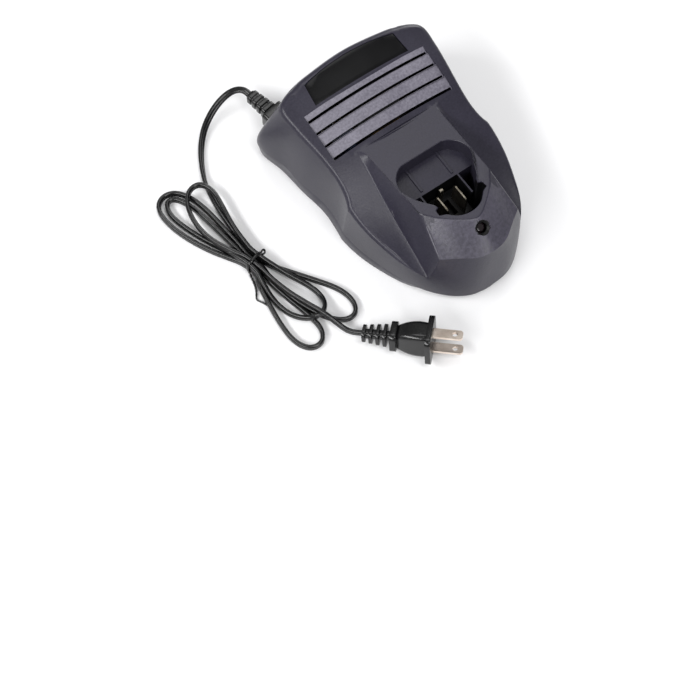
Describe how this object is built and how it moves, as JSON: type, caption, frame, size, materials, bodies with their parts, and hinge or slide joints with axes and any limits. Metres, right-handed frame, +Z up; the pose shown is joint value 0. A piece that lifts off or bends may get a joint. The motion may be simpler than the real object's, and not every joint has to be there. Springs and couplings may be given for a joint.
{
  "type": "battery charger",
  "caption": "Dark grey wedge-shaped mains charger with a keyed battery pocket, louvred crowned roof, indicator and coiled flat mains cord with two-blade plug.",
  "frame": {"origin": "on the surface it stands on, under the middle of the housing's bounding box", "axes": "+Z up, -Y towards the nose with the indicator, +X to the right seen from the nose; the housing is symmetric about the YZ plane"},
  "size_m": [0.1937, 0.2198, 0.0635],
  "materials": {
    "abs_dark": "fine moulded texture, dark blue-grey",
    "abs_base": "fine moulded texture, slightly lighter blue-grey",
    "label_gloss": "bare smooth plate, semi-gloss",
    "abs_black": "black moulded plastic",
    "rubber_foot": "black rubber",
    "screw_steel": "zinc plated steel",
    "board_laminate": "phenolic laminate",
    "contact_nickel": "nickel plated brass",
    "lens_clear": "clear light pipe",
    "lens_red": "tinted epoxy",
    "ferrite": "sintered ferrite",
    "winding_tape": "polyester tape over copper",
    "capacitor_sleeve": "shrink sleeve",
    "sink_aluminium": "extruded",
    "fuse_glass": "glass tube with plated caps",
    "copper_wire": "enamelled copper",
    "connector_white": "nylon",
    "cord_pvc": "soft black vinyl, satin",
    "tie_pvc": "black vinyl coated wire",
    "blade_nickel": "nickel plated brass"
  },
  "bodies": {
    "root": {"upper_housing": "abs_dark", "bottom_cover": "abs_base", "rear_label_plate": "label_gloss", "rubber_feet": "rubber_foot", "cover_screws": "screw_steel", "board_screws": "screw_steel", "circuit_board": "board_laminate", "contact_block": "abs_black", "contact_blade_left": "contact_nickel", "contact_blade_right": "contact_nickel", "sense_contact": "contact_nickel", "indicator_lens": "lens_clear", "indicator_lamp": "lens_red", "lamp_column": "abs_black", "transformer_core": "ferrite", "transformer_winding": "winding_tape", "input_capacitor": "capacitor_sleeve", "output_capacitor": "capacitor_sleeve", "rectifier": "abs_black", "heat_sink": "sink_aluminium", "switching_transistor": "abs_black", "fuse": "fuse_glass", "choke": "copper_wire", "mains_connector": "connector_white", "inner_lead": "cord_pvc", "strain_relief": "cord_pvc", "mains_cord": "cord_pvc", "cord_hank": "cord_pvc", "twist_tie": "tie_pvc", "cord_tail": "cord_pvc", "plug_body": "cord_pvc", "plug_blade_left": "blade_nickel", "plug_blade_right": "blade_nickel"}
  },
  "joints": []
}
